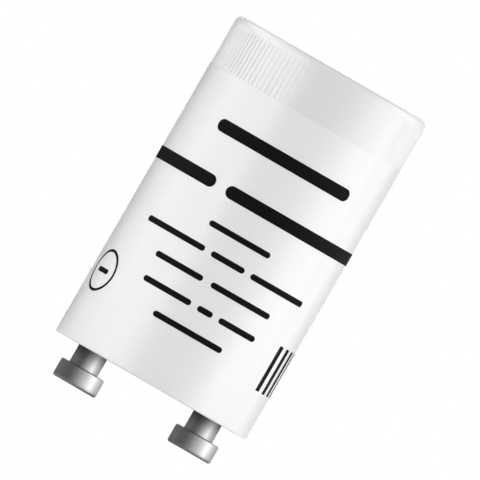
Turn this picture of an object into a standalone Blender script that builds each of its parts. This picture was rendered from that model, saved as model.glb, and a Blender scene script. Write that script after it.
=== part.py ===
"""Fluorescent starter: a moulded can with a ribbed grip, a two-pin base plate, and the glow lamp
and interference capacitor that the can holds.

Lengths are in metres. +Z runs from the contact pins to the closed top of the can, X runs through
both pins, and -Y is the front. The origin is on the can's axis, level with the ends of the pins.
"""

from math import cos, pi, radians, sin

import bmesh
import bpy
from mathutils import Matrix, Vector

# Can
CAN_DIAMETER = 0.0211
CAN_HEIGHT = 0.0351
CAN_SIDE_WALL = 0.0013
CAN_TOP_WALL = 0.0012
CAN_TOP_EDGE = 0.0006
CAN_RIM_EDGE = 0.0001
CAN_INNER_EDGE = 0.001

# Grip: fine grooves cut along the top of the can, with a smooth field at the front and the back
GRIP_HEIGHT = 0.0053
GRIP_STEP = 0.00005
GROOVE_PITCH = 2 * pi / 118
GROOVES_PER_FIELD = 41
SMOOTH_FIELD = 18.5 * GROOVE_PITCH
SMOOTH_FIELD_MIDDLE = radians(23.75)
GROOVE_DEPTH = 0.00012
GROOVE_TOP_MARGIN = 0.0008
GROOVE_TIP = 0.0005
GROOVE_FOOT_MARGIN = 0.00012

# Open end of the can: a bore for the base plate, with a bead that the plate snaps past
PLATE_BORE_WALL = 0.00085
PLATE_RECESS = 0.0009
BEAD_DEPTH = 0.00045
BEAD_MOUTH = 0.00025
BEAD_SLOPE = 0.0002

# Base plate
PLATE_THICKNESS = 0.0018
PLATE_CHAMFER = 0.0003

# Contact pins
PIN_SPACING = 0.0127
PIN_PROJECTION = 0.0038
PIN_HEAD_DIAMETER = 0.0047
PIN_HEAD_THICKNESS = 0.0019
PIN_HEAD_EDGE = 0.0003
PIN_NECK_DIAMETER = 0.0031
PIN_SHANK_DIAMETER = 0.0023
PIN_BORE_DIAMETER = 0.0015
PIN_BORE_FLOOR = 0.0026
PIN_FLANGE_DIAMETER = 0.0038
PIN_FLANGE_THICKNESS = 0.0004

# Glow lamp
LAMP_DIAMETER = 0.0086
LAMP_GLASS = 0.0006
LAMP_MOUTH_DIAMETER = 0.007
LAMP_SHOULDER = 0.0008
LAMP_RISE = 0.0032
LAMP_HEADROOM = 0.0024
LAMP_SIDE_ROOM = 0.0012
LAMP_TIP_DIAMETER = 0.0014
LAMP_TIP_HEIGHT = 0.0013
STEM_FOOT = 0.0009
STEM_HEIGHT = 0.0032
STEM_TOP_DIAMETER = 0.0042

# Electrodes inside the glow lamp
STRIP_THICKNESS = 0.0002
STRIP_WIDTH = 0.0018
STRIP_LEG = 0.0069
STRIP_BEND_RADIUS = 0.0013
STRIP_FREE_LEG = 0.0035
ELECTRODE_DIAMETER = 0.0006
ELECTRODE_LENGTH = 0.0059
WELD_LENGTH = 0.0016

# Wires
WIRE_DIAMETER = 0.0004
WIRE_BEND = 0.0006
WIRE_RUN_RISE = 0.0012
WIRE_PAIR_SPACING = 0.0007
WIRE_PIN_FLOOR_ROOM = 0.0008
LAMP_WIRE_SPACING = 0.0026
LAMP_WIRE_ABOVE_STEM = 0.002

# Interference capacitor
CAPACITOR_WIDTH = 0.009
CAPACITOR_THICKNESS = 0.0034
CAPACITOR_HEIGHT = 0.0102
CAPACITOR_EDGE = 0.0005
CAPACITOR_RISE = 0.0044
CAPACITOR_SIDE_ROOM = 0.0012
CAPACITOR_WIRE_SPACING = 0.005
CAPACITOR_WIRE_DEPTH = 0.0012

# Clearances
SEAT_GAP = 0.0003
SIDE_GAP = 0.00015
CUT_OVER = 0.0001

# Facets
CAN_STEPS = 118
CAVITY_STEPS = 60
PLATE_STEPS = 60
PIN_STEPS = 32
GLASS_STEPS = 32
SMALL_STEPS = 16
ARC_STEPS = 4
MERGE = 0.000001

# Sizes and heights that follow from the ones above
CAN_RADIUS = CAN_DIAMETER / 2
GRIP_RADIUS = CAN_RADIUS - GRIP_STEP
CAVITY_RADIUS = CAN_RADIUS - CAN_SIDE_WALL
PLATE_BORE_RADIUS = CAN_RADIUS - PLATE_BORE_WALL
PLATE_RADIUS = PLATE_BORE_RADIUS - SIDE_GAP
BEAD_RADIUS = PLATE_BORE_RADIUS - BEAD_DEPTH
PLATE_HOLE_RADIUS = PIN_SHANK_DIAMETER / 2 + SIDE_GAP
WIRE_RADIUS = WIRE_DIAMETER / 2
WIRE_HOLE_RADIUS = WIRE_RADIUS + SIDE_GAP

RIM_Z = PIN_PROJECTION
TOP_Z = RIM_Z + CAN_HEIGHT
LEDGE_Z = TOP_Z - GRIP_HEIGHT
ROOF_Z = TOP_Z - CAN_TOP_WALL
PLATE_OUTER_Z = RIM_Z + PLATE_RECESS
PLATE_INNER_Z = PLATE_OUTER_Z + PLATE_THICKNESS
FLANGE_Z = PLATE_INNER_Z + SEAT_GAP
FLANGE_TOP_Z = FLANGE_Z + PIN_FLANGE_THICKNESS
WIRE_RUN_Z = FLANGE_TOP_Z + WIRE_RUN_RISE
WIRE_END_Z = PIN_BORE_FLOOR + WIRE_PIN_FLOOR_ROOM
LAMP_Z = PLATE_INNER_Z + LAMP_RISE
LAMP_TOP_Z = ROOF_Z - LAMP_HEADROOM
LAMP_Y = -(CAVITY_RADIUS - LAMP_SIDE_ROOM - LAMP_DIAMETER / 2)
STEM_TOP_Z = LAMP_Z + STEM_HEIGHT
LAMP_WIRE_TOP_Z = STEM_TOP_Z + LAMP_WIRE_ABOVE_STEM
WELD_Z = LAMP_WIRE_TOP_Z - WELD_LENGTH
CAPACITOR_Z = PLATE_INNER_Z + CAPACITOR_RISE
CAPACITOR_Y = CAVITY_RADIUS - CAPACITOR_SIDE_ROOM - CAPACITOR_THICKNESS


def clear_scene():
    """Remove whatever the file holds."""
    for item in list(bpy.data.objects):
        bpy.data.objects.remove(item, do_unlink=True)


def new_collection(name):
    """Add a collection to the scene."""
    collection = bpy.data.collections.new(name)
    bpy.context.scene.collection.children.link(collection)
    return collection


def new_material(name, colour, roughness, metallic=0.0, transmission=0.0):
    """Make a Principled material of one colour."""
    material = bpy.data.materials.new(name)
    material.use_nodes = True
    shader = material.node_tree.nodes["Principled BSDF"]
    shader.inputs["Base Color"].default_value = (*colour, 1.0)
    shader.inputs["Roughness"].default_value = roughness
    shader.inputs["Metallic"].default_value = metallic
    shader.inputs["Transmission Weight"].default_value = transmission
    return material


def add_object(name, data, collection, parent=None, location=(0.0, 0.0, 0.0)):
    """Link a new object, placed by its location under its parent."""
    item = bpy.data.objects.new(name, data)
    collection.objects.link(item)
    item.parent = parent
    item.location = location
    return item


def evaluated_mesh(item):
    """Return a new mesh of the object with its modifiers applied."""
    bpy.context.view_layer.update()
    graph = bpy.context.evaluated_depsgraph_get()
    return bpy.data.meshes.new_from_object(item.evaluated_get(graph), depsgraph=graph)


def apply_modifiers(item):
    """Replace the object's mesh by its evaluated one."""
    mesh = evaluated_mesh(item)
    item.modifiers.clear()
    item.data = mesh


def finish(item, material):
    """Apply what is left, shade the round surfaces smooth and give the piece its material."""
    apply_modifiers(item)
    item.data.name = item.name
    item.data.shade_smooth()
    item.data.set_sharp_from_angle(angle=radians(35))
    item.data.materials.clear()
    item.data.materials.append(material)


def hide_cutter(item):
    """Show a cutter as wires only, and keep it out of renders."""
    item.hide_render = True
    item.display_type = "WIRE"


def arc(centre, radius, start, end, steps=ARC_STEPS):
    """Points of an arc in the profile plane, with angles in degrees from the radial direction."""
    points = []
    for step in range(steps + 1):
        angle = radians(start + (end - start) * step / steps)
        points.append((centre[0] + radius * cos(angle), centre[1] + radius * sin(angle)))
    return points


def turned(name, profile, steps, collection, parent=None, location=(0.0, 0.0, 0.0)):
    """Revolve an outline of (radius, height) points that starts and ends on the axis."""
    mesh = bpy.data.meshes.new(name)
    points = [(radius, 0.0, height) for radius, height in profile]
    mesh.from_pydata(points, [(i, i + 1) for i in range(len(points) - 1)], [])
    item = add_object(name, mesh, collection, parent, location)
    screw = item.modifiers.new("Turn", "SCREW")
    screw.axis = "Z"
    screw.angle = 2 * pi
    screw.steps = steps
    screw.render_steps = steps
    screw.use_merge_vertices = True
    screw.merge_threshold = MERGE
    apply_modifiers(item)
    return item


def cut(item, cutter):
    """Cut one object out of another."""
    boolean = item.modifiers.new("Cut", "BOOLEAN")
    boolean.operation = "DIFFERENCE"
    boolean.solver = "EXACT"
    boolean.object = cutter
    apply_modifiers(item)
    hide_cutter(cutter)


def drill(item, name, radius, bottom, top, places, cutters):
    """Cut round upright holes at (x, y) places, as one cutter."""
    shape = bmesh.new()
    for x, y in places:
        centre = Matrix.Translation((x, y, (bottom + top) / 2))
        bmesh.ops.create_cone(
            shape, cap_ends=True, segments=SMALL_STEPS, radius1=radius, radius2=radius,
            depth=top - bottom, matrix=centre)
    mesh = bpy.data.meshes.new(name)
    shape.to_mesh(mesh)
    shape.free()
    cut(item, add_object(name, mesh, cutters))


def rounded_route(corners, bend):
    """Points along straight runs joined by round bends, all of one radius."""
    route = [Vector(corners[0])]
    for before, corner, after in zip(corners, corners[1:], corners[2:]):
        corner = Vector(corner)
        arriving = (corner - Vector(before)).normalized()
        leaving = (Vector(after) - corner).normalized()
        turn = arriving.angle(leaving)
        start = corner - arriving * bend * sin(turn / 2) / cos(turn / 2)
        inward = (leaving - arriving * arriving.dot(leaving)).normalized()
        centre = start + inward * bend
        for step in range(ARC_STEPS + 1):
            angle = turn * step / ARC_STEPS
            route.append(centre - inward * bend * cos(angle) + arriving * bend * sin(angle))
    route.append(Vector(corners[-1]))
    return route


def bent_wire(name, corners, material, collection, parent):
    """Bend a round wire along straight runs, with closed ends."""
    curve = bpy.data.curves.new(name, "CURVE")
    curve.dimensions = "3D"
    curve.bevel_depth = WIRE_RADIUS
    curve.bevel_resolution = 2
    curve.use_fill_caps = True
    route = rounded_route(corners, WIRE_BEND)
    spline = curve.splines.new("POLY")
    spline.points.add(len(route) - 1)
    for point, place in zip(spline.points, route):
        point.co = (*place, 1.0)
    curve.materials.append(material)
    return add_object(name, curve, collection, parent)


def can_profile():
    """Outside of the can, from the middle of its top down to the rim."""
    top_centre = (GRIP_RADIUS - CAN_TOP_EDGE, TOP_Z - CAN_TOP_EDGE)
    rim_centre = (CAN_RADIUS - CAN_RIM_EDGE, RIM_Z + CAN_RIM_EDGE)
    outline = [(0.0, TOP_Z)]
    outline += arc(top_centre, CAN_TOP_EDGE, 90, 0)
    outline += [(GRIP_RADIUS, LEDGE_Z), (CAN_RADIUS, LEDGE_Z - GRIP_STEP)]
    outline += arc(rim_centre, CAN_RIM_EDGE, 0, -90, steps=2)
    outline += [(0.0, RIM_Z)]
    return outline


def cavity_profile():
    """Inside of the can: roof, side, seat of the base plate, snap bead and mouth."""
    roof_centre = (CAVITY_RADIUS - CAN_INNER_EDGE, ROOF_Z - CAN_INNER_EDGE)
    bead_top_z = PLATE_OUTER_Z - SEAT_GAP
    seat_z = PLATE_INNER_Z + SEAT_GAP
    outline = [(0.0, ROOF_Z)]
    outline += arc(roof_centre, CAN_INNER_EDGE, 90, 0)
    outline += [(CAVITY_RADIUS, seat_z), (PLATE_BORE_RADIUS, seat_z)]
    outline += [(PLATE_BORE_RADIUS, bead_top_z), (BEAD_RADIUS, bead_top_z - BEAD_SLOPE)]
    outline += [(BEAD_RADIUS, RIM_Z + BEAD_MOUTH), (PLATE_BORE_RADIUS, RIM_Z)]
    outline += [(PLATE_BORE_RADIUS, RIM_Z - CUT_OVER), (0.0, RIM_Z - CUT_OVER)]
    return outline


def groove_cutter(cutters):
    """One square bar for each groove, edge towards the axis, ending above in a point."""
    half_width = GROOVE_DEPTH + CUT_OVER
    foot = LEDGE_Z + GROOVE_FOOT_MARGIN
    head = TOP_Z - GROOVE_TOP_MARGIN - GROOVE_TIP
    place = Matrix.Translation((0.0, CUT_OVER - GRIP_RADIUS, (foot + head) / 2))
    shape = bmesh.new()
    for side in (-1, 1):
        for number in range(GROOVES_PER_FIELD):
            angle = SMOOTH_FIELD_MIDDLE + side * (SMOOTH_FIELD / 2 + number * GROOVE_PITCH)
            bar = bmesh.ops.create_cone(
                shape, cap_ends=True, segments=4, radius1=half_width, radius2=half_width,
                depth=head - foot, matrix=Matrix.Rotation(angle, 4, "Z") @ place)
            faces = {face for vertex in bar["verts"] for face in vertex.link_faces}
            top = max(faces, key=lambda face: face.calc_center_median().z)
            point = bmesh.ops.poke(shape, faces=[top])["verts"][0]
            point.co.z += GROOVE_TIP
    mesh = bpy.data.meshes.new("grip_grooves")
    shape.to_mesh(mesh)
    shape.free()
    return add_object("grip_grooves", mesh, cutters)


def make_housing(parts, cutters, parent):
    """The can: turned outside, turned cavity, and the grooves of its grip."""
    housing = turned("housing", can_profile(), CAN_STEPS, parts, parent)
    # A quarter pitch puts the edges of the turned faces beside the grooves or right on them
    column_turn = Matrix.Rotation(SMOOTH_FIELD_MIDDLE + GROOVE_PITCH / 4 - pi / 2, 4, "Z")
    housing.data.transform(column_turn)
    cut(housing, turned("can_cavity", cavity_profile(), CAVITY_STEPS, cutters))
    cut(housing, groove_cutter(cutters))
    finish(housing, new_material("white_polycarbonate", (0.72, 0.72, 0.71), 0.35))


def make_base_plate(parts, cutters, parent):
    """The disc that closes the can and carries the pins."""
    outline = [
        (0.0, PLATE_INNER_Z), (PLATE_RADIUS - PLATE_CHAMFER, PLATE_INNER_Z),
        (PLATE_RADIUS, PLATE_INNER_Z - PLATE_CHAMFER), (PLATE_RADIUS, PLATE_OUTER_Z),
        (0.0, PLATE_OUTER_Z)]
    plate = turned("base_plate", outline, PLATE_STEPS, parts, parent)
    places = [(-PIN_SPACING / 2, 0.0), (PIN_SPACING / 2, 0.0)]
    drill(plate, "plate_holes", PLATE_HOLE_RADIUS, PLATE_OUTER_Z - CUT_OVER,
          PLATE_INNER_Z + CUT_OVER, places, cutters)
    finish(plate, new_material("natural_plastic", (0.62, 0.6, 0.54), 0.45))


def pin_profile():
    """Half section of a pin: bore and flange above, then shank, neck and head."""
    bore = PIN_BORE_DIAMETER / 2
    flange = PIN_FLANGE_DIAMETER / 2
    shank = PIN_SHANK_DIAMETER / 2
    neck = PIN_NECK_DIAMETER / 2
    head = PIN_HEAD_DIAMETER / 2
    roll = PIN_FLANGE_THICKNESS / 2
    shoulder_z = PLATE_OUTER_Z - SEAT_GAP
    outline = [(0.0, PIN_BORE_FLOOR), (bore, PIN_BORE_FLOOR), (bore, FLANGE_TOP_Z - roll)]
    outline += arc((bore + roll, FLANGE_TOP_Z - roll), roll, 180, 90, steps=2)[1:]
    outline += arc((flange - roll, FLANGE_TOP_Z - roll), roll, 90, -90)
    outline += [(shank, FLANGE_Z), (shank, shoulder_z), (neck, shoulder_z)]
    outline += [(neck, PIN_HEAD_THICKNESS)]
    outline += arc((head - PIN_HEAD_EDGE, PIN_HEAD_THICKNESS - PIN_HEAD_EDGE), PIN_HEAD_EDGE, 90, 0, 3)
    outline += arc((head - PIN_HEAD_EDGE, PIN_HEAD_EDGE), PIN_HEAD_EDGE, 0, -90, 3)
    outline += [(0.0, 0.0)]
    return outline


def make_contact_pins(parts, parent):
    """Two like pins, riveted through the base plate."""
    metal = new_material("nickel_plate", (0.66, 0.65, 0.63), 0.25, metallic=1.0)
    for name, side in (("contact_pin_left", -1), ("contact_pin_right", 1)):
        place = (side * PIN_SPACING / 2, 0.0, 0.0)
        finish(turned(name, pin_profile(), PIN_STEPS, parts, parent, place), metal)


def envelope_profile():
    """Glass of the lamp: outside from its sealed tip down to the mouth, then up the inside."""
    outer = LAMP_DIAMETER / 2
    inner = outer - LAMP_GLASS
    mouth = LAMP_MOUTH_DIAMETER / 2
    tip = LAMP_TIP_DIAMETER / 2
    dome_z = LAMP_TOP_Z - LAMP_TIP_HEIGHT - outer
    shoulder_z = LAMP_Z + LAMP_SHOULDER
    dome = arc((0.0, dome_z), outer, 80, 0, steps=8)
    outline = [(0.0, LAMP_TOP_Z)]
    outline += arc((0.0, LAMP_TOP_Z - tip), tip, 60, 0, steps=2)
    outline += dome
    outline += [(outer, shoulder_z), (mouth, LAMP_Z), (mouth - LAMP_GLASS, LAMP_Z)]
    outline += [(inner, shoulder_z + LAMP_GLASS / 2)]
    outline += arc((0.0, dome_z), inner, 0, 75, steps=6)
    outline += [(0.0, dome_z + inner)]
    return outline


def stem_profile():
    """Glass bead that closes the lamp's mouth and rises inside it."""
    foot = LAMP_MOUTH_DIAMETER / 2 - LAMP_GLASS - SIDE_GAP
    top = STEM_TOP_DIAMETER / 2
    rise = STEM_HEIGHT - STEM_FOOT
    outline = [(0.0, STEM_TOP_Z)]
    outline += arc((top - STEM_FOOT / 2, STEM_TOP_Z - STEM_FOOT / 2), STEM_FOOT / 2, 90, 0, 3)
    outline += [(top, LAMP_Z + STEM_FOOT + rise / 2), (foot, LAMP_Z + STEM_FOOT), (foot, LAMP_Z)]
    outline += [(0.0, LAMP_Z)]
    return outline


def make_lamp_glass(parts, cutters, parent):
    """Envelope and stem of the glow lamp."""
    glass = new_material("clear_glass", (0.86, 0.9, 0.88), 0.05, transmission=0.9)
    finish(turned("lamp_envelope", envelope_profile(), GLASS_STEPS, parts, parent), glass)
    stem = turned("lamp_stem", stem_profile(), GLASS_STEPS, parts, parent)
    places = [(-LAMP_WIRE_SPACING / 2, LAMP_Y), (LAMP_WIRE_SPACING / 2, LAMP_Y)]
    drill(stem, "stem_holes", WIRE_HOLE_RADIUS, LAMP_Z - CUT_OVER, STEM_TOP_Z + CUT_OVER,
          places, cutters)
    finish(stem, glass)


def make_bimetal_strip(parts, parent):
    """U-shaped strip: one leg along the left wire, the other free beside the fixed electrode."""
    welded_x = -(LAMP_WIRE_SPACING / 2 + WIRE_RADIUS + SIDE_GAP + STRIP_THICKNESS / 2)
    bend_centre = (welded_x + STRIP_BEND_RADIUS, WELD_Z + STRIP_LEG)
    path = [(welded_x, WELD_Z)]
    path += arc(bend_centre, STRIP_BEND_RADIUS, 180, 0, steps=10)
    path += [(welded_x + 2 * STRIP_BEND_RADIUS, WELD_Z + STRIP_LEG - STRIP_FREE_LEG)]
    shape = bmesh.new()
    front = [shape.verts.new((x, -STRIP_WIDTH / 2, z)) for x, z in path]
    edges = [shape.edges.new(pair) for pair in zip(front, front[1:])]
    back = bmesh.ops.extrude_edge_only(shape, edges=edges)["geom"]
    moved = [item for item in back if isinstance(item, bmesh.types.BMVert)]
    bmesh.ops.translate(shape, verts=moved, vec=(0.0, STRIP_WIDTH, 0.0))
    mesh = bpy.data.meshes.new("bimetal_strip")
    shape.to_mesh(mesh)
    shape.free()
    strip = add_object("bimetal_strip", mesh, parts, parent)
    solidify = strip.modifiers.new("Thickness", "SOLIDIFY")
    solidify.thickness = STRIP_THICKNESS
    solidify.offset = 0.0
    solidify.use_even_offset = True
    finish(strip, new_material("bimetal", (0.45, 0.43, 0.4), 0.35, metallic=1.0))


def make_fixed_electrode(parts, parent):
    """Straight rod beside the right wire, with a round top."""
    radius = ELECTRODE_DIAMETER / 2
    x = LAMP_WIRE_SPACING / 2 + WIRE_RADIUS + SIDE_GAP + radius
    top = WELD_Z + ELECTRODE_LENGTH
    outline = [(0.0, top)]
    outline += arc((0.0, top - radius), radius, 60, 0, steps=2)
    outline += [(radius, WELD_Z), (0.0, WELD_Z)]
    rod = turned("fixed_electrode", outline, SMALL_STEPS, parts, parent, (x, 0.0, 0.0))
    finish(rod, new_material("electrode_nickel", (0.5, 0.49, 0.47), 0.4, metallic=1.0))


def make_capacitor_body(parts, cutters, parent):
    """Flat dipped body with round sides, and a hole for each lead in its underside."""
    radius = CAPACITOR_THICKNESS / 2
    shape = bmesh.new()
    bmesh.ops.create_cone(
        shape, cap_ends=True, segments=SMALL_STEPS, radius1=radius, radius2=radius,
        depth=CAPACITOR_HEIGHT, matrix=Matrix.Rotation(pi / SMALL_STEPS, 4, "Z"))
    for vertex in shape.verts:
        stretch = CAPACITOR_WIDTH / 2 - radius
        vertex.co.x += stretch if vertex.co.x > 0.0 else -stretch
    mesh = bpy.data.meshes.new("capacitor_body")
    shape.to_mesh(mesh)
    shape.free()
    middle = (0.0, CAPACITOR_Y + radius, CAPACITOR_Z + CAPACITOR_HEIGHT / 2)
    body = add_object("capacitor_body", mesh, parts, parent, middle)
    bevel = body.modifiers.new("Edge", "BEVEL")
    bevel.width = CAPACITOR_EDGE
    bevel.segments = 3
    bevel.angle_limit = radians(50)
    places = [(side * CAPACITOR_WIRE_SPACING / 2, middle[1]) for side in (-1, 1)]
    hole_top = CAPACITOR_Z + CAPACITOR_WIRE_DEPTH + SIDE_GAP
    drill(body, "capacitor_holes", WIRE_HOLE_RADIUS, CAPACITOR_Z - CUT_OVER, hole_top, places, cutters)
    finish(body, new_material("dipped_resin", (0.28, 0.09, 0.04), 0.4))


def make_wires(parts, parent):
    """Lead-in wires of the lamp and leads of the capacitor, all led into the pins' bores."""
    tinned = new_material("tinned_wire", (0.6, 0.6, 0.6), 0.3, metallic=1.0)
    copper = new_material("copper_clad_wire", (0.55, 0.3, 0.18), 0.35, metallic=1.0)
    capacitor_middle = CAPACITOR_Y + CAPACITOR_THICKNESS / 2
    capacitor_wire_top = CAPACITOR_Z + CAPACITOR_WIRE_DEPTH
    for name, side in (("left", -1), ("right", 1)):
        pin_x = side * PIN_SPACING / 2
        for piece, x, y, top, row, metal in (
                ("lamp_lead", LAMP_WIRE_SPACING / 2, LAMP_Y, LAMP_WIRE_TOP_Z, -1, copper),
                ("capacitor_lead", CAPACITOR_WIRE_SPACING / 2, capacitor_middle,
                 capacitor_wire_top, 1, tinned)):
            pin_y = row * WIRE_PAIR_SPACING / 2
            corners = [(side * x, y, top), (side * x, y, WIRE_RUN_Z),
                       (pin_x, pin_y, WIRE_RUN_Z), (pin_x, pin_y, WIRE_END_Z)]
            bent_wire(f"{piece}_{name}", corners, metal, parts, parent)


def main():
    """Build the starter."""
    clear_scene()
    parts = new_collection("fluorescent_starter")
    cutters = new_collection("cutters")
    starter = add_object("starter", None, parts)
    lamp = add_object("glow_lamp", None, parts, starter, (0.0, LAMP_Y, 0.0))
    make_housing(parts, cutters, starter)
    make_base_plate(parts, cutters, starter)
    make_contact_pins(parts, starter)
    make_lamp_glass(parts, cutters, lamp)
    make_bimetal_strip(parts, lamp)
    make_fixed_electrode(parts, lamp)
    make_capacitor_body(parts, cutters, starter)
    make_wires(parts, starter)


main()
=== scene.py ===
from math import ceil, cos, pi, radians, sin, sqrt

import bmesh
import bpy
import numpy as np
from bpy.props import FloatProperty, FloatVectorProperty, IntProperty, PointerProperty
from mathutils import Matrix, Vector


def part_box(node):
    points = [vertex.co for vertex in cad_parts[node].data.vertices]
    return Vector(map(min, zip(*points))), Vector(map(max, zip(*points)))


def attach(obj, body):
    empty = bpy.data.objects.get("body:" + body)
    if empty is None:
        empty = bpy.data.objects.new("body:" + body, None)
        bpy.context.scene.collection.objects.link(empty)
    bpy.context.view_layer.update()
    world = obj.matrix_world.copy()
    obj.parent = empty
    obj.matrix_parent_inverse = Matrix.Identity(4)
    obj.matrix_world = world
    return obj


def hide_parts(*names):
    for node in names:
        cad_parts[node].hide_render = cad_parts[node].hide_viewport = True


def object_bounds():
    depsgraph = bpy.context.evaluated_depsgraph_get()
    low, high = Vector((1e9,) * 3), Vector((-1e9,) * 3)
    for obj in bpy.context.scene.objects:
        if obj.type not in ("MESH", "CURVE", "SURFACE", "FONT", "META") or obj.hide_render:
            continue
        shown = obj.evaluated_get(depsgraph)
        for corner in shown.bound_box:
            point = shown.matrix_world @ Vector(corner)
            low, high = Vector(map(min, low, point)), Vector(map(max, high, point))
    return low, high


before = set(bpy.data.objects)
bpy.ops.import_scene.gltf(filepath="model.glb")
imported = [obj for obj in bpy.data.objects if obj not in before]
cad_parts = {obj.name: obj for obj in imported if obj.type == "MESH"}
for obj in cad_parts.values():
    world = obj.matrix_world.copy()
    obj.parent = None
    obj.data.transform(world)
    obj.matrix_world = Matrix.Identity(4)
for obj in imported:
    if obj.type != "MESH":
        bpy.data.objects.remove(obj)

bl_info = {
    "name": "Fluorescent starter",
    "version": (1, 0, 0),
    "blender": (4, 5, 0),
    "location": "View3D > Sidebar > Starter",
    "description": "Ribbed can, print, contact pins, glow lamp, capacitor and studio of a starter",
    "category": "Add Mesh",
}

# What the frame gives: the pieces made here take their places from these boxes
CAD_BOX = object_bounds()
CAN_LOW, CAN_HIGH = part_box("housing")
PLATE_LOW, PLATE_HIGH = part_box("base_plate")
PIN_LOW, PIN_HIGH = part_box("contact_pin_right")
PIN_X = (PIN_LOW.x + PIN_HIGH.x) / 2

# The photograph: its width in pixels, the middle of the starter there, and its scale
PHOTO_WIDTH = 480
STARTER_PX = (232.0, 243.9)
METRES_PER_PX = 0.00009604

# How far in from the can's outside its grooves and the painted shade at the end of its rounded
# edge lie
OUTER_SKIN = 0.0005

# Lamps that stand round the starter: azimuth from the camera's side, and share of their bank
LAMP_BANK = (
    (-85, 0.33), (-60, 0.325), (-36, 0.45), (46, 0.15), (66, 0.425), (89, 0.38), (118, 0.165))
LAMP_ELEVATION = 11
LAMP_SIZE = (0.06, 0.11)
LAMP_DISTANCE = 0.17

# Low strips that light the rim and the pins: their size, the height they aim at, their distance
STRIP_SIZE = (0.020, 0.012)
STRIP_TARGET = 0.006
STRIP_DISTANCE = 0.045

# Cards behind the can: their distance from its axis, and their height
CARD_RADIUS = 0.12
CARD_HEIGHT = 0.12

# Light tent round a pin: its radius, where it starts, and its glow by the angle round the pin
TENT_RADIUS = 0.00285
TENT_LOW = 0.0002
TENT_GLOW = (
    (-180, 0.2), (-100, 0.24), (-65, 0.24), (-40, 0.17), (-28, 0.18), (-14, 0.28), (0, 0.58),
    (14, 0.95), (28, 1.45), (36, 1.9), (44, 2.35), (54, 1.6), (65, 1.15), (80, 0.85),
    (110, 0.6), (180, 0.4))


def length(name, description, default):
    """A length that a user may change."""
    return FloatProperty(
        name=name, description=description, default=default, min=0.0, precision=6,
        subtype="DISTANCE", unit="LENGTH")


def tint(name, description, default):
    """A colour that a user may change."""
    return FloatVectorProperty(
        name=name, description=description, default=default, size=3, min=0.0, max=1.0,
        subtype="COLOR")


def share(name, description, default):
    """A number between nought and one that a user may change."""
    return FloatProperty(name=name, description=description, default=default, min=0.0, max=1.0)


def power(name, default):
    """The power of a lamp that a user may change."""
    return FloatProperty(name=name, description="Power in watts", default=default, min=0.0,
                         precision=4, unit="POWER")


class CanSizes(bpy.types.PropertyGroup):
    """Sizes of the moulded can."""

    skin: length("Skin", "Room left under the ink, inside the can's full radius", 0.00002)
    top_edge: length("Top edge", "Radius of the edge of the closed top", 0.0006)
    rim_edge: length("Rim edge", "Radius of the outer edge of the open end", 0.0001)
    top_wall: length("Top wall", "Thickness of the closed top", 0.0012)
    inner_edge: length("Inner edge", "Radius of the inner edge under the closed top", 0.001)
    side_wall: length("Side wall", "Thickness of the side", 0.0013)
    bore_wall: length("Bore wall", "Thickness of the side round the base plate", 0.00085)
    bead_depth: length("Bead depth", "How far the snap bead stands in from the bore", 0.00045)
    bead_lead: length("Bead lead", "Height of the slope from the rim to the snap bead", 0.00025)
    bead_back: length("Bead back", "Height of the slope behind the snap bead", 0.0002)
    seat_gap: length("Seat gap", "Clearance between the base plate and its seat", 0.0003)
    grip_height: length("Grip height", "From the closed top down to the ledge", 0.0053)
    grip_step: length("Grip step", "How far the body stands proud of the grip", 0.00005)
    ledge_chamfer: length("Ledge chamfer", "Height of the chamfer on the ledge", 0.00009)
    ledge_bevel: length("Ledge bevel", "Width of the chamfer on the ledge", 0.00003)
    groove_depth: length("Groove depth", "Depth of the deepest grooves of the grip", 0.00017)
    groove_margin: length("Groove margin", "From the closed top to the end of a groove", 0.00062)
    groove_tip: length("Groove tip", "Length over which a groove runs out", 0.0006)
    right_depth: share(
        "Right depth", "Depth of the right field's grooves beside the left's", 0.48)
    fade_left: FloatProperty(name="Left fade", default=19.5, min=0.1,
                             description="Grooves over which the left field deepens")
    fade_right: FloatProperty(name="Right fade", default=2.5, min=0.1,
                              description="Grooves over which the right field deepens")
    side_loss: share("Side loss", "Depth that the left field loses again at the side", 0.75)
    pitches: IntProperty(name="Pitches", description="Grooves that a full turn would hold",
                         default=118, min=3)
    grooves: IntProperty(name="Grooves", description="Grooves in each of the two fields",
                         default=41, min=1)
    smooth_pitches: FloatProperty(name="Smooth field", default=18.5, min=0.0,
                                  description="Width of the smooth field, in groove pitches")
    smooth_middle: FloatProperty(name="Smooth middle", default=radians(23.75), subtype="ANGLE",
                                 description="Middle of the smooth field, from the front")
    columns_per_pitch: IntProperty(name="Columns", default=10, min=4,
                                   description="Faces across one groove pitch")


class PrintSizes(bpy.types.PropertyGroup):
    """Sizes of the print on the can."""

    ink: length("Ink", "Thickness of the ink", 0.000012)
    sunk: length("Sunk", "How deep the ink's underside lies in the can", 0.00001)
    bold: length("Bold bar", "Height of the bars in the two large rows", 0.0013)
    fine: length("Fine bar", "Height of the bars in the small rows", 0.0006)
    line: length("Line", "Width of the drawn lines", 0.00029)


class PinSizes(bpy.types.PropertyGroup):
    """Sizes of a contact pin."""

    shoulder_gap: length("Shoulder gap", "Clearance between the plate and the neck", 0.00005)
    head_thickness: length("Head thickness", "Thickness of the head", 0.0019)
    head_edge: length("Head edge", "Radius of the head's edges", 0.00021)
    neck_radius: length("Neck radius", "Radius of the neck", 0.00155)
    neck_fillet: length("Neck fillet", "Radius between the neck and the head", 0.00006)
    shank_radius: length("Shank radius", "Radius of the shank in the plate", 0.00115)
    bore_radius: length("Bore radius", "Radius of the bore in the riveted end", 0.00075)
    bore_floor: length("Bore floor", "Height of the bore's floor", 0.0026)
    flange_radius: length("Flange radius", "Radius of the riveted flange", 0.0019)
    flange_thickness: length("Flange thickness", "Thickness of the riveted flange", 0.0004)


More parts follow.
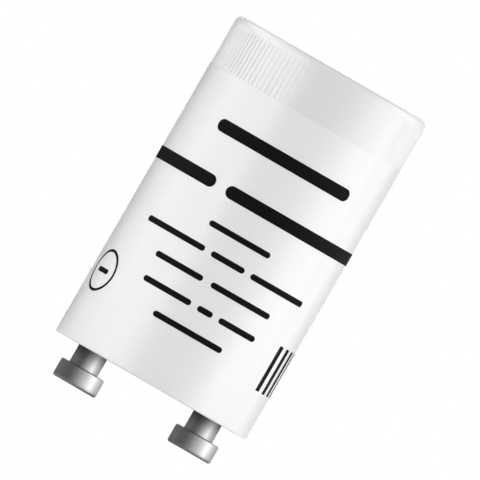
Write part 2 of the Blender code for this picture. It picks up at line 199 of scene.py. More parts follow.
class StarterColours(bpy.types.PropertyGroup):
    """Colours of the finishes."""

    can: tint("Can", "White moulding compound", (0.79, 0.79, 0.79))
    # Painted shade on the grip's smooth field and painted light on its grooved fields
    painted_grip_shade: share("Grip shade", "How light the smooth field is beside the body", 0.925)
    painted_grip_light: share("Grip lift", "How much lighter the grooved fields are than the body", 0.04)
    # Painted shade at the bottoms of the grooves
    painted_groove_shade: share(
        "Groove shade", "How much darker the grooves are at their deepest", 0.34)
    # Painted shade on the end of the rounded top edge
    painted_edge_shade: share("Edge shade", "How much darker the end of the top's rounded edge is", 0.13)
    matt_top: share("Matt top", "How much rougher the closed top is than the wall", 0.3)
    ink: tint("Ink", "Print on the can", (0.005, 0.005, 0.005))
    plate: tint("Plate", "Moulding compound of the base plate", (0.68, 0.66, 0.60))
    nickel: tint("Nickel", "Plating of the pins", (0.51, 0.51, 0.51))
    copper: tint("Copper", "Copper-clad wire", (0.72, 0.42, 0.28))
    tin: tint("Tin", "Tinned wire", (0.70, 0.70, 0.70))
    bimetal: tint("Bimetal", "Bimetal strip", (0.50, 0.47, 0.43))
    resin: tint("Resin", "Dipped resin of the capacitor", (0.30, 0.09, 0.04))
    floor: tint("Floor", "Studio floor", (0.62, 0.62, 0.62))


class StudioSettings(bpy.types.PropertyGroup):
    """Camera and light."""

    distance: length("Distance", "From the camera to the starter; its rays run parallel", 0.6)
    lean: FloatProperty(name="Lean", default=radians(30), subtype="ANGLE",
                        description="How far the starter leans to the right in the picture")
    elevation: FloatProperty(name="Elevation", default=0.0, subtype="ANGLE",
                             description="Height of the camera above the horizon")
    fill: share("Fill", "Strength of the even light from all round", 0.32)
    left_power: power("Left bank", 0.141)
    right_power: power("Right bank", 0.169)
    top_power: power("Top softbox", 0.06)
    back_power: power("Back softbox", 0.15)
    left_strip_power: power("Left strip", 0.0012)
    right_strip_power: power("Right strip", 0.0012)
    left_edge_power: power("Left edge lamp", 0.078)
    right_edge_power: power("Right edge lamp", 0.105)


class Field:
    """A socket that sums, products and comparisons can be written with."""

    def __init__(self, tree, socket):
        self.tree = tree
        self.socket = socket

    def __add__(self, other):
        return maths(self.tree, "ADD", self, other)

    def __sub__(self, other):
        return maths(self.tree, "SUBTRACT", self, other)

    def __rsub__(self, other):
        return maths(self.tree, "SUBTRACT", other, self)

    def __mul__(self, other):
        return maths(self.tree, "MULTIPLY", self, other)

    def __truediv__(self, other):
        return maths(self.tree, "DIVIDE", self, other)

    def __pow__(self, other):
        return maths(self.tree, "POWER", self, other)

    def __gt__(self, other):
        return maths(self.tree, "GREATER_THAN", self, other)

    def __abs__(self):
        return maths(self.tree, "ABSOLUTE", self)


def feed(tree, socket, value):
    """Link a field or a socket to an input, or set the input to a constant."""
    if isinstance(value, Field):
        tree.links.new(value.socket, socket)
    elif isinstance(value, bpy.types.NodeSocket):
        tree.links.new(value, socket)
    else:
        socket.default_value = value


def node(tree, kind, inputs=None, **settings):
    """Add a node, with its settings and its named inputs."""
    made = tree.nodes.new(kind)
    for name, value in settings.items():
        setattr(made, name, value)
    for name, value in (inputs or {}).items():
        feed(tree, made.inputs[name], value)
    return made


def maths(tree, operation, *values):
    """One Math node."""
    made = node(tree, "ShaderNodeMath", operation=operation)
    for socket, value in zip(made.inputs, values):
        feed(tree, socket, value)
    return Field(tree, made.outputs[0])


def ramp(tree, value, low, high):
    """Nought before low, one past high, and a straight line between; low may be the larger."""
    made = node(tree, "ShaderNodeMapRange", {"Value": value, "From Min": low, "From Max": high})
    made.clamp = True
    return Field(tree, made.outputs[0])


def new_tree(name, inputs):
    """A Geometry Nodes tree with one geometry in, one out, and named inputs for its sizes."""
    tree = bpy.data.node_groups.new(name, "GeometryNodeTree")
    tree.interface.new_socket("Geometry", in_out="INPUT", socket_type="NodeSocketGeometry")
    for label, kind in inputs.items():
        tree.interface.new_socket(label, in_out="INPUT", socket_type="NodeSocket" + kind)
    tree.interface.new_socket("Geometry", in_out="OUTPUT", socket_type="NodeSocketGeometry")
    start = tree.nodes.new("NodeGroupInput")
    return tree, {label: Field(tree, start.outputs[label]) for label in ["Geometry", *inputs]}


def end_tree(tree, geometry, material):
    """Close a tree: make it real and give it its material."""
    real = node(tree, "GeometryNodeRealizeInstances", {"Geometry": geometry})
    made = node(tree, "GeometryNodeSetMaterial",
                {"Geometry": real.outputs[0], "Material": material})
    last = tree.nodes.new("NodeGroupOutput")
    tree.links.new(made.outputs[0], last.inputs["Geometry"])


def link(item):
    """Show an object in the scene."""
    bpy.context.scene.collection.objects.link(item)
    return item


def grow(name, source, tree, values, sharp):
    """Run a tree on a source mesh and return what it makes as a plain object."""
    item = link(bpy.data.objects.new(name, source))
    modifier = item.modifiers.new("Nodes", "NODES")
    modifier.node_group = tree
    sockets = {s.name: s.identifier for s in tree.interface.items_tree if s.in_out == "INPUT"}
    for label, value in values.items():
        modifier[sockets[label]] = value
    return settle(item, sharp)


def settle(item, sharp=40):
    """Turn the evaluated object into a plain mesh, smooth up to an angle in degrees."""
    bpy.context.view_layer.update()
    graph = bpy.context.evaluated_depsgraph_get()
    mesh = bpy.data.meshes.new_from_object(item.evaluated_get(graph), depsgraph=graph)
    name = item.name
    bpy.data.objects.remove(item)
    tidy = bmesh.new()
    tidy.from_mesh(mesh)
    bmesh.ops.remove_doubles(tidy, verts=tidy.verts, dist=1e-7)
    bmesh.ops.dissolve_degenerate(tidy, edges=tidy.edges, dist=1e-8)
    bmesh.ops.recalc_face_normals(tidy, faces=tidy.faces)
    tidy.to_mesh(mesh)
    tidy.free()
    mesh.shade_smooth()
    mesh.set_sharp_from_angle(angle=radians(sharp))
    mesh.name = name
    return link(bpy.data.objects.new(name, mesh))


def dress(item, material, slot, *nodes):
    """Give a finished piece its material and body, and hide what it stands for; the slot is not
    used.
    """
    item.data.materials.clear()
    item.data.materials.append(material)
    if nodes:
        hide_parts(*nodes)
    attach(item, "root")
    return item


def arc(centre, radius, start, end, steps):
    """Points of an arc in a profile, with angles in degrees from the radial direction."""
    points = []
    for step in range(steps + 1):
        angle = radians(start + (end - start) * step / steps)
        points.append((centre[0] + radius * cos(angle), centre[1] + radius * sin(angle)))
    return points


def outline_mesh(name, profile):
    """A polyline of (radius, height) points in the plane of X and Z."""
    mesh = bpy.data.meshes.new(name)
    points = [(radius, 0.0, height) for radius, height in profile]
    mesh.from_pydata(points, [(i, i + 1) for i in range(len(points) - 1)], [])
    return mesh


def turned(name, profile, steps, x):
    """Revolve an outline that starts and ends on the axis, with the axis at a place on X."""
    item = link(bpy.data.objects.new(name, outline_mesh(name, profile)))
    screw = item.modifiers.new("Turn", "SCREW")
    screw.axis = "Z"
    screw.angle = 2 * pi
    screw.steps = steps
    screw.render_steps = steps
    screw.use_merge_vertices = True
    screw.merge_threshold = 1e-7
    item = settle(item)
    item.data.transform(Matrix.Translation((x, 0.0, 0.0)))
    return item


def principled(name, colour, roughness, metallic=0.0):
    """A material with a Principled shader; returns it with its tree and shader."""
    material = bpy.data.materials.new(name)
    material.use_nodes = True
    shader = material.node_tree.nodes["Principled BSDF"]
    shader.inputs["Base Color"].default_value = (*colour, 1.0)
    shader.inputs["Roughness"].default_value = roughness
    shader.inputs["Metallic"].default_value = metallic
    return material, material.node_tree, shader


def shader_group(name, inputs, outputs):
    """A shader node group with named inputs and outputs, read in Object coordinates."""
    tree = bpy.data.node_groups.new(name, "ShaderNodeTree")
    for label, value in inputs.items():
        socket = tree.interface.new_socket(label, in_out="INPUT", socket_type="NodeSocketFloat")
        socket.default_value = value
    for label in outputs:
        tree.interface.new_socket(label, in_out="OUTPUT", socket_type="NodeSocketFloat")
    start = tree.nodes.new("NodeGroupInput")
    last = tree.nodes.new("NodeGroupOutput")
    place = tree.nodes.new("ShaderNodeTexCoord").outputs["Object"]
    return tree, {label: Field(tree, start.outputs[label]) for label in inputs}, last, place


def grain_group():
    """Fine grain of a moulded skin, with slow cloudiness below it."""
    tree, given, last, place = shader_group(
        "moulding_grain", {"Grain": 2500.0, "Cloud": 120.0}, ["Grain", "Cloud"])
    for label, detail in (("Grain", 3.0), ("Cloud", 2.0)):
        noise = node(tree, "ShaderNodeTexNoise",
                     {"Vector": place, "Scale": given[label], "Detail": detail})
        feed(tree, last.inputs[label], noise.outputs[0])
    return tree


def streak_group():
    """Drawn or turned metal: streaks that run along Z or round it, and fine pits."""
    tree, given, last, place = shader_group(
        "metal_streaks", {"Across": 3000.0, "Along": 300.0, "Pits": 4000.0},
        ["Streaks", "Pits"])
    scale = node(tree, "ShaderNodeCombineXYZ",
                 {"X": given["Across"], "Y": given["Across"], "Z": given["Along"]})
    stretched = node(tree, "ShaderNodeVectorMath", operation="MULTIPLY")
    feed(tree, stretched.inputs[0], place)
    feed(tree, stretched.inputs[1], scale.outputs[0])
    streaks = node(tree, "ShaderNodeTexNoise",
                   {"Vector": stretched.outputs[0], "Scale": 1.0, "Detail": 3.0})
    pits = node(tree, "ShaderNodeTexNoise",
                {"Vector": place, "Scale": given["Pits"], "Detail": 2.0})
    feed(tree, last.inputs["Streaks"], streaks.outputs[0])
    feed(tree, last.inputs["Pits"], pits.outputs[0])
    return tree


def effect(tree, group, values):
    """Place a shared effect in a material, with its own values."""
    made = node(tree, "ShaderNodeGroup", node_tree=group)
    for label, value in values.items():
        made.inputs[label].default_value = value
    return made


def shaded_colour(tree, shader, colour, factor, low, high):
    """Base colour between a darker and a lighter shade of itself, by a factor."""
    mix = node(tree, "ShaderNodeMix", data_type="RGBA")
    feed(tree, mix.inputs["Factor"], factor)
    mix.inputs["A"].default_value = (*(part * low for part in colour), 1.0)
    mix.inputs["B"].default_value = (*(min(1.0, part * high) for part in colour), 1.0)
    feed(tree, shader.inputs["Base Color"], mix.outputs["Result"])


def bump(tree, shader, height, depth):
    """Relief of a given depth in metres."""
    made = node(tree, "ShaderNodeBump", {"Strength": 1.0, "Distance": depth, "Height": height})
    feed(tree, shader.inputs["Normal"], made.outputs[0])


def moulded(name, colour, roughness, grain_depth, spread=0.015, grain=2500.0):
    """Moulded plastic: fine grain, faint cloudiness and a gloss that varies with both."""
    cloud_gloss, grain_gloss = 0.06, 0.04
    material, tree, shader = principled(name, colour, roughness)
    skin = effect(tree, shared("moulding_grain", grain_group), {"Grain": grain, "Cloud": 120.0})
    cloud = Field(tree, skin.outputs["Cloud"])
    fine = Field(tree, skin.outputs["Grain"])
    shaded_colour(tree, shader, colour, cloud, 1.0 - spread, 1.0 + spread)
    feed(tree, shader.inputs["Roughness"],
         (cloud - 0.5) * cloud_gloss + (fine - 0.5) * grain_gloss + roughness)
    bump(tree, shader, fine, grain_depth)
    return material


def metal(name, colour, roughness, along=300.0, spread=0.12, depth=0.000004):
    """Plated or drawn metal with streaks and fine pits."""
    streak_gloss, pit_gloss = 0.25, 0.2
    material, tree, shader = principled(name, colour, roughness, metallic=1.0)
    marks = effect(tree, shared("metal_streaks", streak_group), {"Along": along})
    streaks = Field(tree, marks.outputs["Streaks"])
    pits = Field(tree, marks.outputs["Pits"])
    shaded_colour(tree, shader, colour, streaks * 0.6 + pits * 0.4, 1.0 - spread, 1.0 + spread)
    feed(tree, shader.inputs["Roughness"],
         (streaks - 0.5) * streak_gloss + (pits - 0.5) * pit_gloss + roughness)
    bump(tree, shader, streaks * 0.5 + pits * 0.5, depth)
    return material


def glass():
    """Clear drawn glass, with a faint waviness."""
    colour = (0.93, 0.97, 0.95)
    material, tree, shader = principled("clear_glass", colour, roughness=0.03)
    shader.inputs["Transmission Weight"].default_value = 1.0
    shader.inputs["IOR"].default_value = 1.51
    skin = effect(tree, shared("moulding_grain", grain_group), {"Grain": 300.0, "Cloud": 60.0})
    bump(tree, shader, skin.outputs["Cloud"], depth=0.00001)
    return material


def shared(name, make):
    """A node group that is built once, the first time it is asked for."""
    return bpy.data.node_groups.get(name) or make()


def white_compound():
    """The can's material: painted shade on the smooth field, in the grooves and on the end of the
    top edge, painted light on the grooved fields, and a matt top.
    """
    colours = bpy.context.scene.starter_colours
    sizes = bpy.context.scene.can_sizes
    material = moulded("white_compound", colours.can, roughness=0.31, grain_depth=0.0000006)
    tree = material.node_tree
    shader = tree.nodes["Principled BSDF"]
    shader.inputs["IOR"].default_value = 1.585
    place = node(tree, "ShaderNodeSeparateXYZ",
                 {"Vector": node(tree, "ShaderNodeTexCoord").outputs["Object"]})
    x, y, z = (Field(tree, place.outputs[axis]) for axis in "XYZ")
    radius = (x * x + y * y) ** 0.5
    top = CAN_HIGH.z
    ledge = top - sizes.grip_height
    grip = CAN_HIGH.y - sizes.grip_step
    blend = 0.00005
    on_grip = ramp(tree, z, ledge - blend, ledge)
    outside = radius > grip - OUTER_SKIN

    # Painted shade in the bottoms of the grooves, from a shallow to a deep one, below where they
    # end
    shallow, deep, fade = 0.00002, 0.00014, 0.00008
    grooves_end = top - sizes.groove_margin
    valley = ramp(tree, radius, grip - shallow, grip - deep) * outside
    valley = valley * ramp(tree, z, grooves_end, grooves_end - fade)
    # Painted shade on the smooth field between the two grooved fields, with a soft start and end
    # in X
    smooth_start, smooth_end = (-0.006, -0.001), (0.0095, 0.0062)
    plain = ramp(tree, x, *smooth_start) * ramp(tree, x, *smooth_end)
    # Painted shade on the last of the rounded edge, by its depth below the top
    edge_start, edge_full = 0.00022, 0.00012
    edge = outside * ramp(tree, z, top - edge_start, top - edge_full)

    # Painted light on the grooved fields and painted shade on the smooth field between them, by X
    lift = colours.painted_grip_light
    shade = on_grip * (lift - plain * (1.0 + lift - colours.painted_grip_shade)) + 1.0
    # Painted shade in the grooves and on the last of the rounded top edge
    shade = shade - on_grip * valley * colours.painted_groove_shade - edge * colours.painted_edge_shade
    shaded = node(tree, "ShaderNodeVectorMath", operation="SCALE", inputs={"Scale": shade})
    feed(tree, shaded.inputs[0], shader.inputs["Base Color"].links[0].from_socket)
    feed(tree, shader.inputs["Base Color"], shaded.outputs[0])
    # The closed top is matt: where that starts and where it is full, by the depth below it
    matt_start, matt_full = 0.0003, 0.00002
    on_top = ramp(tree, z, top - matt_start, top - matt_full)
    skin = shader.inputs["Roughness"].links[0].from_socket
    feed(tree, shader.inputs["Roughness"], on_top * colours.matt_top + skin)
    return material


def can_profile(sizes):
    """Section of the can: down its outside, and back up its inside to the roof."""
    radius = CAN_HIGH.y - sizes.skin
    grip = radius - sizes.grip_step
    cavity = CAN_HIGH.y - sizes.side_wall
    bore = CAN_HIGH.y - sizes.bore_wall
    bead = bore - sizes.bead_depth
    top, rim = CAN_HIGH.z, CAN_LOW.z
    ledge = top - sizes.grip_height
    chamfer = sizes.ledge_chamfer
    edge, corner, inner_edge = sizes.top_edge, sizes.rim_edge, sizes.inner_edge
    groove_top = top - sizes.groove_margin
    bead_top = PLATE_LOW.z - sizes.seat_gap
    seat = PLATE_HIGH.z + sizes.seat_gap
    roof = top - sizes.top_wall
    outline = [(0.0, top), (grip - 2 * edge, top)]
    outline += arc((grip - edge, top - edge), edge, 90, 0, 8)
    run_out_rows = 8
    for row in range(run_out_rows + 1):
        outline.append((grip, groove_top - sizes.groove_tip * row / run_out_rows))
    # The lowest row with grooves, just above the ledge
    foot_row = 0.00003
    outline += [(grip, ledge + foot_row), (grip, ledge)]
    outline += [(radius - sizes.ledge_bevel, ledge), (radius, ledge - chamfer)]
    # A row close to each end of the tall side keeps its shading flat
    outline += [(radius, ledge - chamfer * 1.5), (radius, rim + corner * 2)]
    outline += arc((radius - corner, rim + corner), corner, 0, -90, 4)
    outline += [(bore, rim), (bead, rim + sizes.bead_lead), (bead, bead_top - sizes.bead_back)]
    outline += [(bore, bead_top), (bore, seat), (cavity, seat)]
    outline += arc((cavity - inner_edge, roof - inner_edge), inner_edge, 0, 90, 4)
    outline += [(0.0, roof)]
    return outline


def can_tree():
    """A turned wall whose grip is grooved: grooves repeat at one pitch, in two fields."""
    tree, given = new_tree("grooved_can", {
        "Columns": "Int", "Pitch": "Float", "Grooves": "Float", "Smooth Field": "Float",
        "Smooth Middle": "Float", "Fade Left": "Float", "Fade Right": "Float", "Depth": "Float",
        "Right Depth": "Float", "Side Loss": "Float", "Groove Top": "Float", "Tip": "Float",
        "Groove Foot": "Float", "Inside": "Float", "Material": "Material"})
    size = node(tree, "GeometryNodeAttributeDomainSize", {"Geometry": given["Geometry"]})
    rows = Field(tree, size.outputs["Point Count"])
    grid = node(tree, "GeometryNodeMeshGrid", {
        "Size X": 1.0, "Size Y": 1.0, "Vertices X": given["Columns"] + 1.0, "Vertices Y": rows})
    flat = node(tree, "ShaderNodeSeparateXYZ",
                {"Vector": node(tree, "GeometryNodeInputPosition").outputs[0]})
    angle = (Field(tree, flat.outputs["X"]) + 0.5) * (2 * pi)
    row = maths(tree, "ROUND", (Field(tree, flat.outputs["Y"]) + 0.5) * (rows - 1.0))
    place = node(tree, "GeometryNodeInputPosition")
    point = node(tree, "GeometryNodeSampleIndex", {"Geometry": given["Geometry"]},
                 data_type="FLOAT_VECTOR")
    feed(tree, point.inputs["Value"], place.outputs[0])
    feed(tree, point.inputs["Index"], row)
    section = node(tree, "ShaderNodeSeparateXYZ", {"Vector": point.outputs[0]})
    radius = Field(tree, section.outputs["X"])
    height = Field(tree, section.outputs["Z"])

    # Angle from the middle of the smooth field, from nought to half a turn on either side
    turn = maths(tree, "WRAP", angle - given["Smooth Middle"], pi, -pi)
    steps = (abs(turn) - given["Smooth Field"] * 0.5) / given["Pitch"]
    nearest = abs(steps - maths(tree, "ROUND", steps))
    within = (steps > -0.5) * (given["Grooves"] - 0.5 > steps)
    # Each field deepens slowly from the smooth field, and quickly from its other end
    slow_start = 1.45
    right = turn > 0.0
    fade = given["Fade Left"] + (given["Fade Right"] - given["Fade Left"]) * right
    front = ramp(tree, (steps + 1.0) / fade, 0.0, 1.0) ** slow_start
    front = front * (1.0 - (1.0 - given["Right Depth"]) * right)
    # The left field is shallower again at the side, as where two halves of a mould meet
    side_start, side_end = 17.0, 24.0
    at_side = ramp(tree, steps, side_start, side_end) * (1.0 - right)
    front = front * (1.0 - at_side * given["Side Loss"])
    back = ramp(tree, (given["Grooves"] - steps) / given["Fade Right"], 0.0, 1.0)
    deepest = maths(tree, "MINIMUM", front, back) * given["Depth"]
    # The higher the power, the broader the lands and the narrower the grooves
    land_power = 2.2
    section_depth = (1.0 - nearest * 2.0) ** land_power * deepest
    # The run-out ends like a round cutter leaving the wall
    rise = ramp(tree, height, given["Groove Top"] - given["Tip"], given["Groove Top"])
    lifted = section_depth - rise * rise * deepest
    above_foot = height > given["Groove Foot"]
    outside = radius > given["Inside"]
    groove = maths(tree, "MAXIMUM", lifted, 0.0) * within * above_foot * outside
    wall = radius - groove
    bent = node(tree, "ShaderNodeCombineXYZ", {
        "X": wall * maths(tree, "SINE", angle), "Y": wall * maths(tree, "COSINE", angle) * -1.0,
        "Z": height})
    shaped = node(tree, "GeometryNodeSetPosition", {
        "Geometry": grid.outputs["Mesh"], "Position": bent.outputs[0]})
    end_tree(tree, shaped.outputs[0], given["Material"])
    return tree


class STARTER_OT_can(bpy.types.Operator):
    """Mould the can with its grooved grip"""

    bl_idname = "starter.make_can"
    bl_label = "Can"

    def execute(self, context):
        sizes = context.scene.can_sizes
        pitch = 2 * pi / sizes.pitches
        material = white_compound()
        ledge = CAN_HIGH.z - sizes.grip_height
        item = grow("can", outline_mesh("can_section", can_profile(sizes)), can_tree(), {
            "Columns": sizes.pitches * sizes.columns_per_pitch, "Pitch": pitch,
            "Grooves": float(sizes.grooves), "Smooth Field": sizes.smooth_pitches * pitch,
            "Smooth Middle": sizes.smooth_middle, "Fade Left": sizes.fade_left,
            "Fade Right": sizes.fade_right, "Depth": sizes.groove_depth,
            "Right Depth": sizes.right_depth, "Side Loss": sizes.side_loss,
            "Groove Top": CAN_HIGH.z - sizes.groove_margin, "Tip": sizes.groove_tip,
            "Groove Foot": ledge + 0.00001, "Inside": CAN_HIGH.y - OUTER_SKIN,
            "Material": material}, sharp=50)
        dress(item, material, "white_polycarbonate", "housing")
        return {"FINISHED"}


def print_tree():
    """Flat strokes of ink, drawn along paths, wrapped round the can."""
    tree, given = new_tree("wrapped_print", {
        "Radius": "Float", "Ink": "Float", "Sunk": "Float", "Material": "Material"})
    width = node(tree, "GeometryNodeInputNamedAttribute", {"Name": "width"}, data_type="FLOAT")
    path = node(tree, "GeometryNodeMeshToCurve", {"Mesh": given["Geometry"]})
    upright = node(tree, "GeometryNodeSetCurveNormal", {"Curve": path.outputs[0]}, mode="Z_UP")
    section = node(tree, "GeometryNodeCurvePrimitiveQuadrilateral",
                   {"Width": 1.0, "Height": 1.0})
    stroke = node(tree, "GeometryNodeCurveToMesh", {
        "Curve": upright.outputs[0], "Profile Curve": section.outputs[0],
        "Scale": width.outputs[0], "Fill Caps": True})
    flat = node(tree, "ShaderNodeSeparateXYZ",
                {"Vector": node(tree, "GeometryNodeInputPosition").outputs[0]})
    angle = Field(tree, flat.outputs["X"]) / given["Radius"]
    upper = Field(tree, flat.outputs["Z"]) > 0.0
    reach = given["Radius"] - given["Sunk"] + upper * (given["Ink"] + given["Sunk"])
    bent = node(tree, "ShaderNodeCombineXYZ", {
        "X": reach * maths(tree, "SINE", angle), "Y": reach * maths(tree, "COSINE", angle) * -1.0,
        "Z": flat.outputs["Y"]})
    wrapped = node(tree, "GeometryNodeSetPosition", {
        "Geometry": stroke.outputs[0], "Position": bent.outputs[0]})
    end_tree(tree, wrapped.outputs[0], given["Material"])
    return tree


def bar(start, end, level, height):
    """A solid bar with round ends, as a path along a level from one angle to another."""
    step_length, thinnest, end_angles = 0.0002, 0.00002, range(10, 90, 16)
    radius = CAN_HIGH.y
    low, high = radians(start) * radius, radians(end) * radius
    steps = ceil((high - low) / step_length)
    round_end = height / 2
    places = [round_end * (1 - cos(radians(angle))) for angle in end_angles]
    xs = [low + place for place in places]
    xs += [low + round_end + (high - low - 2 * round_end) * i / steps for i in range(steps + 1)]
    xs += [high - place for place in reversed(places)]
    widths = []
    for x in xs:
        inward = max(0.0, round_end - min(x - low, high - x))
        widths.append(max(thinnest, 2 * sqrt(max(0.0, round_end ** 2 - inward ** 2))))
    return [(x, level) for x in xs], widths, False


def ring(angle, level, radius, width):
    """A plain ring."""
    middle = radians(angle) * CAN_HIGH.y
    steps = 48
    turns = [2 * pi * i / steps for i in range(steps)]
    points = [(middle + radius * cos(turn), level + radius * sin(turn)) for turn in turns]
    return points, [width] * steps, True


def stripe(angle, low, high, width):
    """An upright stripe."""
    x = radians(angle) * CAN_HIGH.y
    return [(x, low), (x, high)], [width] * 2, False


def print_layout(sizes):
    """Rows of bars and two plain marks, by their level below the top and their angle."""
    top = CAN_HIGH.z
    bold, fine = sizes.bold, sizes.fine
    rows = [
        (0.0100, bold, [(-41, 45)]),
        (0.0152, bold, [(-112, -24), (-17, 108)]),
        (0.0187, fine, [(-16, 21)]),
        (0.0212, fine, [(-51, -11), (-7, 13), (17, 56)]),
        (0.0238, fine, [(-34, -4), (1, 39)]),
        (0.0264, fine, [(-33, -3), (1, 10), (14, 38)]),
        (0.0289, fine, [(-18, 24)]),
    ]
    strokes = []
    for level, height, bars in rows:
        for start, end in bars:
            strokes.append(bar(start, end, top - level, height))
    ring_level, ring_radius, ring_bar = top - 0.0278, 0.0021, 0.0005
    strokes.append(ring(-64, ring_level, ring_radius, sizes.line))
    strokes.append(bar(-70, -58, ring_level, ring_bar))
    stripe_low, stripe_high, stripe_width = top - 0.0305, top - 0.0256, 0.0007
    for angle in (60, 68, 76, 84):
        strokes.append(stripe(angle, stripe_low, stripe_high, stripe_width))
    return strokes


def strokes_mesh(name, strokes):
    """All paths in one mesh, with the stroke's width on each point."""
    mesh = bpy.data.meshes.new(name)
    points, edges, widths = [], [], []
    for path, sizes, closed in strokes:
        first = len(points)
        points += [(x, y, 0.0) for x, y in path]
        widths += sizes
        edges += [(first + i, first + i + 1) for i in range(len(path) - 1)]
        if closed:
            edges.append((first + len(path) - 1, first))
    mesh.from_pydata(points, edges, [])
    mesh.attributes.new("width", "FLOAT", "POINT").data.foreach_set("value", widths)
    return mesh


class STARTER_OT_print(bpy.types.Operator):
    """Print plain bars and marks on the can"""

    bl_idname = "starter.make_print"
    bl_label = "Print"

    def execute(self, context):
        sizes = context.scene.print_sizes
        colour = context.scene.starter_colours.ink
        material = moulded("black_ink", colour, roughness=0.55, grain_depth=0.0000004,
                           spread=0.2)
        shader = material.node_tree.nodes["Principled BSDF"]
        shader.inputs["Specular IOR Level"].default_value = 0.03
        radius = CAN_HIGH.y - context.scene.can_sizes.skin
        item = grow("print", strokes_mesh("print_paths", print_layout(sizes)), print_tree(), {
            "Radius": radius, "Ink": sizes.ink, "Sunk": sizes.sunk,
            "Material": material}, sharp=30)
        dress(item, material, "black_ink")
        return {"FINISHED"}


class STARTER_OT_base_plate(bpy.types.Operator):
    """Mould the base plate"""

    bl_idname = "starter.make_base_plate"
    bl_label = "Base plate"

    def execute(self, context):
        colour = context.scene.starter_colours.plate
        material = moulded("plate_compound", colour, roughness=0.45, grain_depth=0.000002)
        dress(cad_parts["base_plate"], material, "natural_plastic")
        return {"FINISHED"}


def pin_profile(sizes):
    """Half section of a pin: bore and flange above, then shank, neck and head."""
    flange_z = PIN_HIGH.z - sizes.flange_thickness
    shoulder = PLATE_LOW.z - sizes.shoulder_gap
    head = (PIN_HIGH.x - PIN_LOW.x) / 2
    roll = sizes.flange_thickness / 2
    edge = sizes.head_edge
    outline = [(0.0, sizes.bore_floor), (sizes.bore_radius, sizes.bore_floor)]
    outline += arc((sizes.bore_radius + roll, PIN_HIGH.z - roll), roll, 180, 90, 6)
    outline += arc((sizes.flange_radius - roll, PIN_HIGH.z - roll), roll, 90, -90, 10)
    outline += [(sizes.shank_radius, flange_z), (sizes.shank_radius, shoulder)]
    foot = sizes.neck_fillet
    outline += [(sizes.neck_radius, shoulder), (sizes.neck_radius, sizes.head_thickness + foot)]
    outline += arc((sizes.neck_radius + foot, sizes.head_thickness + foot), foot, 180, 270, 4)
    outline += arc((head - edge, sizes.head_thickness - edge), edge, 90, 0, 8)
    outline += arc((head - edge, edge), edge, 0, -90, 8)
    outline += [(head - 3 * edge, 0.0), (0.0, 0.0)]
    return outline


class STARTER_OT_contact_pins(bpy.types.Operator):
    """Turn the two contact pins"""

    bl_idname = "starter.make_contact_pins"
    bl_label = "Contact pins"

    def execute(self, context):
        material = metal("nickel_plating", context.scene.starter_colours.nickel,
                         roughness=0.40, spread=0.2, depth=0.0000025)
        for side, x in (("left", -PIN_X), ("right", PIN_X)):
            item = turned(f"pin_{side}", pin_profile(context.scene.pin_sizes), 96, x)
            dress(item, material, "nickel_plate", f"contact_pin_{side}")
        return {"FINISHED"}


class STARTER_OT_inside(bpy.types.Operator):
    """Finish the glow lamp, the capacitor and the wires"""

    bl_idname = "starter.make_inside"
    bl_label = "Lamp, capacitor and wires"

    def execute(self, context):
        colours = context.scene.starter_colours
        clear = glass()
        copper = metal("copper_cladding", colours.copper, roughness=0.35, along=1500.0)
        tin = metal("tinned_copper", colours.tin, roughness=0.3, along=1500.0)
        strip = metal("rolled_bimetal", colours.bimetal, roughness=0.35)
        resin = moulded("dipped_resin", colours.resin, roughness=0.3, grain_depth=0.00001,
                        spread=0.2, grain=900.0)
        finishes = {
            "lamp_envelope": (clear, "clear_glass"), "lamp_stem": (clear, "clear_glass"),
            "lamp_lead_left": (copper, "copper_clad_wire"),
            "lamp_lead_right": (copper, "copper_clad_wire"),
            "bimetal_strip": (strip, "bimetal"), "fixed_electrode": (tin, "electrode_nickel"),
            "capacitor_body": (resin, "dipped_resin"),
            "capacitor_lead_left": (tin, "tinned_wire"),
            "capacitor_lead_right": (tin, "tinned_wire"),
        }
        for name, (material, slot) in finishes.items():
            dress(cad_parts[name], material, slot)
        return {"FINISHED"}


def seen_rays(tree):
    """One for rays from the camera, reflected or through glass, and nought for lighting."""
    path = node(tree, "ShaderNodeLightPath")
    seen = maths(tree, "MAXIMUM", path.outputs["Is Camera Ray"], path.outputs["Is Glossy Ray"])
    return maths(tree, "MAXIMUM", seen, path.outputs["Is Transmission Ray"])


